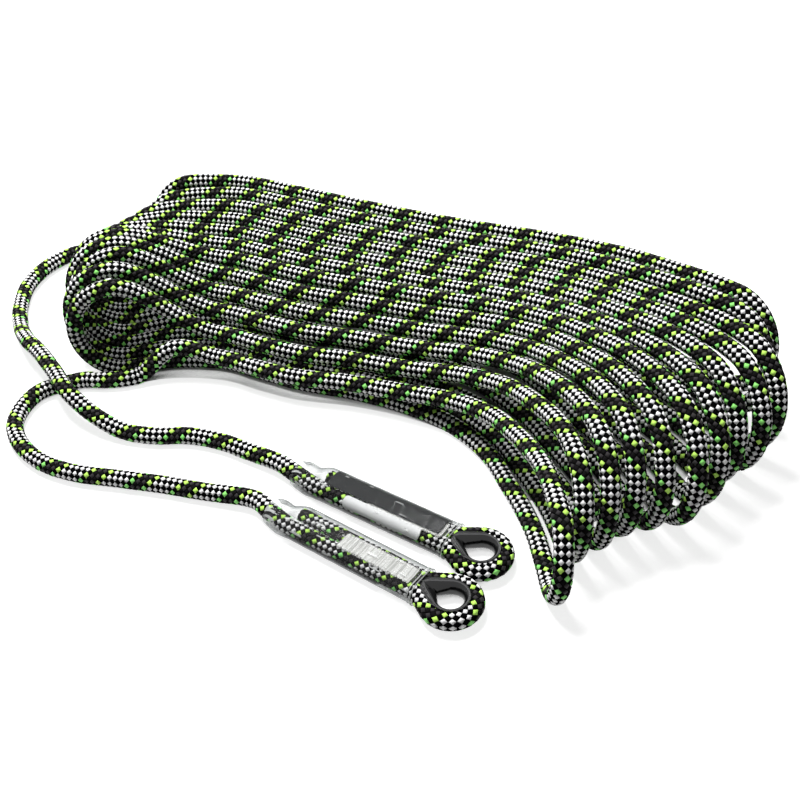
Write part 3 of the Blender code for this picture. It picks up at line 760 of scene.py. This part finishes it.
STITCH_SEED = {"a": 5, "b": 6}
THREAD_PITCH, THREAD_STEPS = 0.00062, 8  # one thread along the rope, and its rings
THREAD_POINTS = 25  # across the rope, on each side of it
THREAD_HIGH, THREAD_ROUND = 0.00022, 0.7
THREAD_RISE = 0.00010  # how unevenly the threads lie
WAVE_RISE, WAVE_TURN, WAVE_SHARE = 0.00016, 1.3, 0.6
EDGE_SPREAD = 0.00025
EDGE_FLAT, EDGE_POWER = 0.6, 8  # threads lie flatter towards their ends
DRAPE = 0.0004  # the threads sink between the two ropes
TICK_PITCH, TICK_START, TICK_OUT = 0.00155, 0.0007, 0.0004
TICK_ALONG, TICK_ACROSS = 0.00008, 0.00012  # how unevenly the ticks stand
TICK_SUNK = 0.0001
TICK_SIDES = 8
TICK_FORM = ((-0.00050, 0.0001), (-0.0004, 0.00026), (0.0004, 0.00026), (0.0005, 0.0001))
SHADED_SHARE = 0.38


def stitching(side):
    """Threads across both ropes from crest to crest, and a row of ticks at each edge."""
    rng = np.random.default_rng(STITCH_SEED[side])
    rounds = int(STITCH_LENGTH / THREAD_PITCH)
    xs = STITCH_START + np.arange(rounds * THREAD_STEPS + 1) * THREAD_PITCH / THREAD_STEPS
    half, top = PAIR_HALF, STITCH_INNER + STITCH_THICK
    ys = np.linspace(-1.0, 1.0, THREAD_POINTS)
    numbers = np.arange(rounds + 2)
    rise = rng.standard_normal(rounds + 2) * THREAD_RISE
    rise += WAVE_RISE * np.sin(numbers * WAVE_TURN) * (rng.random(rounds + 2) < WAVE_SHARE)
    edge = rng.standard_normal((rounds + 2, 2)) * EDGE_SPREAD
    rings = []
    for k, x in enumerate(xs):
        row = k // THREAD_STEPS
        wave = abs(math.sin(math.pi * k / THREAD_STEPS)) ** THREAD_ROUND
        wide_low, wide_high = half + edge[row]
        y = np.where(ys < 0, ys * wide_low, ys * wide_high)
        drape = top - DRAPE * (1.0 - ys ** 2) ** 2
        z = drape + (THREAD_HIGH * wave + rise[row]) * (1.0 - EDGE_FLAT * ys ** EDGE_POWER)
        upper = [(-x, a, b) for a, b in zip(y, z)]
        rings.append(upper + [(-x, a, -b) for a, b in zip(y[::-1], z[::-1])])
    points, faces = lofted(rings, False)
    points, faces = list(points), list(faces)
    for line_y in (-half - TICK_OUT, half + TICK_OUT):
        for row in range(int(STITCH_LENGTH / TICK_PITCH)):
            x = STITCH_START + TICK_START + row * TICK_PITCH + rng.normal() * TICK_ALONG
            y = line_y + rng.normal() * TICK_ACROSS
            tick = [[(-x + at, y + size * math.cos(a), top - TICK_SUNK + size * math.sin(a))
                     for a in np.arange(TICK_SIDES) * math.pi / 4] for at, size in TICK_FORM]
            more, cells = lofted(tick, False)
            faces += [tuple(i + len(points) for i in f) for f in cells]
            points += list(more)
    made = sewn_piece("stitching_%s_threads" % side, side, points, faces, thread_white,
                      "stitching_" + side)
    made.data.materials.append(thread_shade)
    darker = rng.random(rounds + 2) < SHADED_SHARE
    per_ring = 2 * THREAD_POINTS
    for face in made.data.polygons[:rounds * THREAD_STEPS * per_ring]:
        face.material_index = int(darker[min(face.vertices) // per_ring // THREAD_STEPS])


def hull_point(low, high, radius, share):
    """Point of the hull round two circles, share going once round from the tail's top."""
    flat, round_half = high - low, math.pi * radius
    at = (share % 1.0) * 2.0 * (flat + round_half)
    if at < flat:
        return high - at, radius
    at -= flat
    if at < round_half:
        turn = 0.5 * math.pi + at / radius
        return low + radius * math.cos(turn), radius * math.sin(turn)
    at -= round_half
    if at < flat:
        return low + at, -radius
    turn = -0.5 * math.pi + (at - flat) / radius
    return high + radius * math.cos(turn), radius * math.sin(turn)


FULL_TURN = 6.2832
PHASES = 6.28  # random phases are drawn below this
SLEEVE_SEED = {"a": 3, "b": 4}
FILM_THICK = 0.00018
FILM_STEP = 0.00035
FILM_SIDES = 96
FILM_EASING = 12  # steps over which the film passes from one width to the next
FILM_BULGE = 0.0022  # beside the mouth, the film stands out this much further
MOUTH_CLOSING = (0.0004, 0.0036)  # and its two sides close by this much at the very mouth
MOUTH_LIP, MOUTH_PINCH = 0.004, 0.0003
WIDE_END = 0.002
# rolled rings: where from the film's start, how high and how long
FILM_ROLLS = ((0.0005, 0.0007, 0.0004), (0.0026, 0.0004, 0.0005))
MOUTH_ROLL = (0.0006, 0.0002, 0.0005)
WAVE_COUNT = 9
WAVE_LENGTHS, WAVE_RATES, WAVE_TURNS = (0.002, 0.006), (0.8, 3.0), (2, 3, 5)
WRINKLE = 0.00026
# looseness of the film all along, then changes at its start, its mouth and its wide part's end
LOOSE, LOOSE_CHANGES = 0.35, ((-0.27, 0.006), (1.6, 0.010), (0.7, 0.006))
FOLD_SHARE, FOLD_COUNT, FOLD_TWIST, FOLD_REACH = 0.35, 7, 140.0, 0.014
# the rings whose faces take the milky rim: partly the film's own whiteness, partly a painted
# highlight
RIM_RINGS = (1, 7)
STREAKS = ((9, 60), (16, -90), (3, 330))  # painted highlight streaks: turns round the film and rates along it
STREAK_REACH = 0.022  # from the mouth
STREAKS_FROM = {"a": (2.62, 1.1), "b": (2.30, 1.5)}  # far from the mouth, and less at it


def bell(value, middle, reach):
    return math.exp(-((value - middle) / reach) ** 2)


def eased(values, width):
    padded = np.concatenate([np.full(width, values[0]), values, np.full(width, values[-1])])
    kernel = np.hanning(2 * width + 1)
    return np.convolve(padded, kernel / kernel.sum(), "same")[width:-width]


def sleeve(side):
    """A thin film round both ropes: a rolled ring at the eye, wrinkles, an open mouth."""
    rng = np.random.default_rng(SLEEVE_SEED[side])
    wide = SLEEVE_START + SLEEVE_WIDE[side]
    mouth = wide + SLEEVE_MOUTH[0]
    stops = [(SLEEVE_START, -PAIR_HALF, PAIR_HALF, SLEEVE_INNER),
             (wide - WIDE_END, -PAIR_HALF, PAIR_HALF, SLEEVE_INNER),
             (wide + SLEEVE_DIP[0], SLEEVE_DIP[1] - FILM_BULGE, SLEEVE_DIP[2], NECK_INNER),
             (mouth - MOUTH_LIP, SLEEVE_MOUTH[1] - FILM_BULGE, SLEEVE_MOUTH[2] - MOUTH_PINCH,
              NECK_INNER),
             (mouth, SLEEVE_MOUTH[1] - MOUTH_CLOSING[0], SLEEVE_MOUTH[2] - MOUTH_CLOSING[1],
              NECK_INNER)]
    backs = [one[0] for one in stops]
    xs = np.arange(SLEEVE_START, backs[-1] + 1e-6, FILM_STEP)
    low, high, inner = [eased(np.interp(xs, backs, [one[k] for one in stops]), FILM_EASING)
                        for k in (1, 2, 3)]
    waves = [(rng.uniform(*WAVE_LENGTHS), rng.uniform(*WAVE_RATES), rng.uniform(0, PHASES),
              rng.choice(WAVE_TURNS)) for _ in range(WAVE_COUNT)]
    rolls = [(SLEEVE_START + at, size, reach) for at, size, reach in FILM_ROLLS]
    rolls.append((xs[-1] - MOUTH_ROLL[0], *MOUTH_ROLL[1:]))
    grid = []
    for k, x in enumerate(xs):
        swell = sum(size * bell(x, at, reach) for at, size, reach in rolls)
        loose = LOOSE + sum(change * bell(x, at, reach) for at, (change, reach)
                            in zip((xs[0], xs[-1], wide), LOOSE_CHANGES))
        row = []
        for i in range(FILM_SIDES):
            share = i / FILM_SIDES
            wave = sum(math.sin(x / length * rate + phase + FULL_TURN * turns * share)
                       for length, rate, phase, turns in waves) / WAVE_COUNT
            fold = math.sin(FULL_TURN * FOLD_COUNT * share + FOLD_TWIST * x)
            fold *= bell(x, xs[-1], FOLD_REACH)
            y, z = hull_point(low[k], high[k], inner[k] + SLEEVE_WALL + swell
                              + WRINKLE * loose * (wave + FOLD_SHARE * fold), share)
            row.append((-x, y, max(z, REST_GAP - EYE_HEIGHT)))
        grid.append(row)
    outer = np.array(grid)
    middle = np.stack([-xs, 0.5 * (low + high), 0 * xs], -1)[:, None, :]
    axis = outer - middle
    size = np.linalg.norm(axis, axis=2, keepdims=True)
    inside = middle + axis * (size - FILM_THICK) / size
    points, faces = lofted(list(outer) + list(inside[::-1]), True)
    made = sewn_piece("sleeve_%s_film" % side, side, points, faces, film[side],
                      "sleeve_" + side)
    made.data.materials.append(film_rim_milk_and_highlight)
    made.data.materials.append(film_streak_painted_highlight)
    # faces on the streaks get the milky film as painted highlights, more of them near the mouth
    phases = rng.uniform(0, PHASES, len(STREAKS))
    least, less = STREAKS_FROM[side]
    for face in made.data.polygons:
        ring, at = divmod(face.vertices[0], FILM_SIDES)
        ring = min(ring, 2 * len(xs) - 1 - ring)
        x, turn = xs[ring], FULL_TURN * at / FILM_SIDES
        lines = sum(math.sin(turns * turn + rate * x + phase)
                    for (turns, rate), phase in zip(STREAKS, phases))
        # the rolled rings: milky, partly the film's own whiteness, partly a painted highlight
        if ring in RIM_RINGS:
            face.material_index = 1
        elif lines > least - less * bell(x, xs[-1], STREAK_REACH):
            face.material_index = 2


TAPE_STEP, TAPE_POINTS = 0.0005, 33
TAPE_WAVE = 0.00005
RIPPLES = ((90, 1.0, 20), (210, 1.0, 0), (1300, 0.35, 0))  # rate along, height, drift across
TAPE_SUNK = 0.0001  # the underside, below the tape's place
RIDGE_PITCH, RIDGE_HIGH, RIDGE_WIDTH = 0.0026, 0.00035, 0.12  # small bumps along one edge
LABEL_ROUND = 0.0018  # radius of the label's corners
CORNER_MOST = 0.96
# a tape's edges are shares of the way round the hull, from the tail's top over the other rope
ROUND_SIDE = math.pi * (TAG_INNER + 0.5 * TAG_THICK)
ONCE = 2.0 * (2.0 * PAIR_HALF + ROUND_SIDE)
TAG_A_SPREAD = (-0.44 * ROUND_SIDE / ONCE, 1.78 * PAIR_HALF / ONCE)
LABEL_A_SPREAD = ((1.9 * PAIR_HALF + 0.04 * ROUND_SIDE) / ONCE,
                  (2.0 * PAIR_HALF + 0.44 * ROUND_SIDE) / ONCE)
TAG_B_SPREAD = ((2.0 * PAIR_HALF + 0.56 * ROUND_SIDE) / ONCE,
                (4.0 * PAIR_HALF + ROUND_SIDE) / ONCE)


def strip(name, side, material, node, slot, start, length, spread, inner, rounded=0.0):
    """A thin tape on the hull round both ropes; spread gives its two edges."""
    rng = np.random.default_rng(len(name) + ord(side))
    xs = np.linspace(start, start + length, max(40, int(length / TAPE_STEP)))
    phases = rng.uniform(0, PHASES, 6)
    rings = []
    for x in xs:
        near = min(x - start, start + length - x)
        shrink = 0.0
        if rounded and near < rounded:
            shrink = 0.5 - 0.5 * math.sqrt(max(0.0, 1.0 - (1.0 - near / rounded) ** 2))
        first = spread[0] + (spread[1] - spread[0]) * shrink * CORNER_MOST
        last = spread[1] - (spread[1] - spread[0]) * shrink * CORNER_MOST
        upper, under = [], []
        for share in np.linspace(first, last, TAPE_POINTS):
            wave = sum(high * math.sin(rate * x + phase + drift * share)
                       for (rate, high, drift), phase in zip(RIPPLES, phases))
            ridge = bell(share, first, RIDGE_WIDTH * (last - first))
            radius = inner + TAG_THICK + TAPE_WAVE * wave
            radius += RIDGE_HIGH * ridge * abs(math.sin(math.pi * x / RIDGE_PITCH)) ** 3
            upper.append((-x, *hull_point(-PAIR_HALF, PAIR_HALF, radius, share)))
            under.append((-x, *hull_point(-PAIR_HALF, PAIR_HALF, inner - TAPE_SUNK, share)))
        rings.append(upper + under[::-1])
    points, faces = lofted(rings, False)
    sewn_piece(name, side, points, faces, material, node)


for side in "ab":
    thimble(side)
    stitching(side)
    sleeve(side)
strip("tag_a_satin", "a", satin, "tag_a", "tag", *TAG_A, TAG_A_SPREAD, TAG_INNER)
strip("label_a_strip", "a", paper, "label_a", "label", *LABEL_A, LABEL_A_SPREAD, TAG_INNER,
      LABEL_ROUND)
strip("tag_b_satin", "b", satin, "tag_b", "tag", *TAG_B, TAG_B_SPREAD, TAG_INNER)


# Stage, light and camera
WHITE_LIGHT = (1.0, 1.0, 1.0, 1.0)


def seen_plainly(nodes, links):
    """1 for rays from the camera, off mirrors and through film, and 0 for the others."""
    path = add_node(nodes, "LightPath")
    either = add_node(nodes, "Math", None, "MAXIMUM")
    most = add_node(nodes, "Math", None, "MAXIMUM")
    links.new(path.outputs["Is Camera Ray"], either.inputs[0])
    links.new(path.outputs["Is Glossy Ray"], either.inputs[1])
    links.new(either.outputs[0], most.inputs[0])
    links.new(path.outputs["Is Transmission Ray"], most.inputs[1])
    return most.outputs[0]


def floor_paint(name, low, high, glow_level):
    """White floor: it glows where it is seen plainly, less where it is hemmed in, which is
    painted shade in its hollows.
    """
    made, nodes, links = new_material(name)
    shader = nodes["Principled BSDF"]
    set_inputs(shader, {"Base Color": (0.5, 0.5, 0.5, 1.0), "Roughness": 0.9,
                        "Specular IOR Level": 0.1})
    open_sky = add_node(nodes, "AmbientOcclusion", {"Distance": 0.07})
    open_sky.samples = 8
    # less glow where the floor is hemmed in: painted shade
    under = add_node(nodes, "MapRange", {"From Min": low, "From Max": high})
    shaded = add_node(nodes, "Math", None, "MULTIPLY")
    strength = add_node(nodes, "Math", {1: glow_level}, "MULTIPLY")
    glow = add_node(nodes, "Emission", {"Color": WHITE_LIGHT})
    both = add_node(nodes, "AddShader")
    links.new(open_sky.outputs["AO"], under.inputs["Value"])
    links.new(seen_plainly(nodes, links), shaded.inputs[0])
    links.new(under.outputs["Result"], shaded.inputs[1])
    links.new(shaded.outputs[0], strength.inputs[0])
    links.new(strength.outputs[0], glow.inputs["Strength"])
    links.new(shader.outputs[0], both.inputs[0])
    links.new(glow.outputs[0], both.inputs[1])
    links.new(both.outputs[0], nodes["Material Output"].inputs["Surface"])
    return made


# the floor under the hank has a paint of its own, with deeper painted shade between the strands,
# inset from the tips by these stations
FLOOR_REACH = 1.5
EDGE_STEP = 0.3
LEFT_INSET, RIGHT_INSET = 0.8, [2.6, 1.9] + [1.0] * (LANES - 5) + [0.8] * 3
FRONT_INSETS, BACK_INSETS = (1.0, 2.7), (1.0, 1.2)
corners = [Vector((x * FLOOR_REACH, y * FLOOR_REACH, 0))
           for x, y in ((-1, -1), (1, -1), (1, 1), (-1, 1))]
round_hank = [(LEFT_TIPS[lane] + LEFT_INSET, lane) for lane in range(LAST_LANE, -1, -1)]
round_hank += [(t, 0) for t in np.arange(LEFT_TIPS[0] + FRONT_INSETS[0],
                                         RIGHT_TIPS[0] - FRONT_INSETS[1], EDGE_STEP)]
round_hank += [(RIGHT_TIPS[lane] - RIGHT_INSET[lane], lane) for lane in range(LANES)]
round_hank += [(t, LAST_LANE) for t in np.arange(RIGHT_TIPS[-1] - BACK_INSETS[1],
                                                 LEFT_TIPS[-1] + BACK_INSETS[0], -EDGE_STEP)]
under_hank = [on_sheet(float(t), lane, LOWER_Z) for t, lane in round_hank]
under_hank = [Vector((spot.x, spot.y, 0.0)) for spot in under_hank]
flat_points = corners + under_hank
triangles = tessellate_polygon([corners, under_hank])
hank_face = tuple(range(len(corners), len(flat_points)))
floor_mesh = bpy.data.meshes.new("floor")
floor_mesh.from_pydata([tuple(p) for p in flat_points], [], list(triangles) + [hank_face])
floor_mesh.materials.append(floor_paint("floor_open", 0.0, 0.06, 0.80))
floor_mesh.materials.append(floor_paint("floor_under_hank", 0.24, 0.50, 0.72))
floor_mesh.polygons[len(triangles)].material_index = 1
floor = bpy.data.objects.new("floor", floor_mesh)
bpy.context.collection.objects.link(floor)

world = bpy.data.worlds.new("studio")
bpy.context.scene.world = world
world.use_nodes = True
nodes, links = world.node_tree.nodes, world.node_tree.links
sky = nodes["Background"]
set_inputs(sky, {"Color": WHITE_LIGHT})
level = add_node(nodes, "MapRange", {"To Min": 0.12, "To Max": 1.0})
links.new(seen_plainly(nodes, links), level.inputs["Value"])
links.new(level.outputs["Result"], sky.inputs["Strength"])


def lamp(name, place, aim, size, power, gloss_only=False):
    data = bpy.data.lights.new(name, "AREA")
    data.shape = "RECTANGLE"
    data.size, data.size_y = size
    data.energy = power
    made = bpy.data.objects.new(name, data)
    bpy.context.collection.objects.link(made)
    made.location = place
    made.visible_glossy = gloss_only
    made.visible_diffuse = not gloss_only
    made.rotation_euler = (Vector(aim) - Vector(place)).to_track_quat("-Z", "Y").to_euler()


lamp("key", (-0.25, 0.45, 1.45), (0.0, 0.0, 0.0), (0.6, 0.6), 40.0)
lamp("strip", (-0.30, 1.30, 1.60), (0.0, -0.12, 0.0), (1.4, 0.06), 2.6, True)

PICTURE_WIDTH = 800.0
FOCAL_PIXELS = 1220.0  # the fitted focal length, in pixels of the photograph
CAMERA_PLACE = (0.0224, -0.6204, 0.51)
CAMERA_TILT, CAMERA_ROLL = math.radians(50.0), math.radians(-5.0)
camera = bpy.data.cameras.new("camera")
camera.sensor_width = 36.0
camera.lens = 36.0 * FOCAL_PIXELS / PICTURE_WIDTH
camera.clip_start = 0.02
viewer = bpy.data.objects.new("camera", camera)
bpy.context.collection.objects.link(viewer)
viewer.matrix_world = (Matrix.Translation(CAMERA_PLACE) @ Matrix.Rotation(CAMERA_TILT, 4, "X")
                       @ Matrix.Rotation(CAMERA_ROLL, 4, "Z"))
bpy.context.scene.camera = viewer
bpy.context.scene.view_settings.view_transform = "Standard"
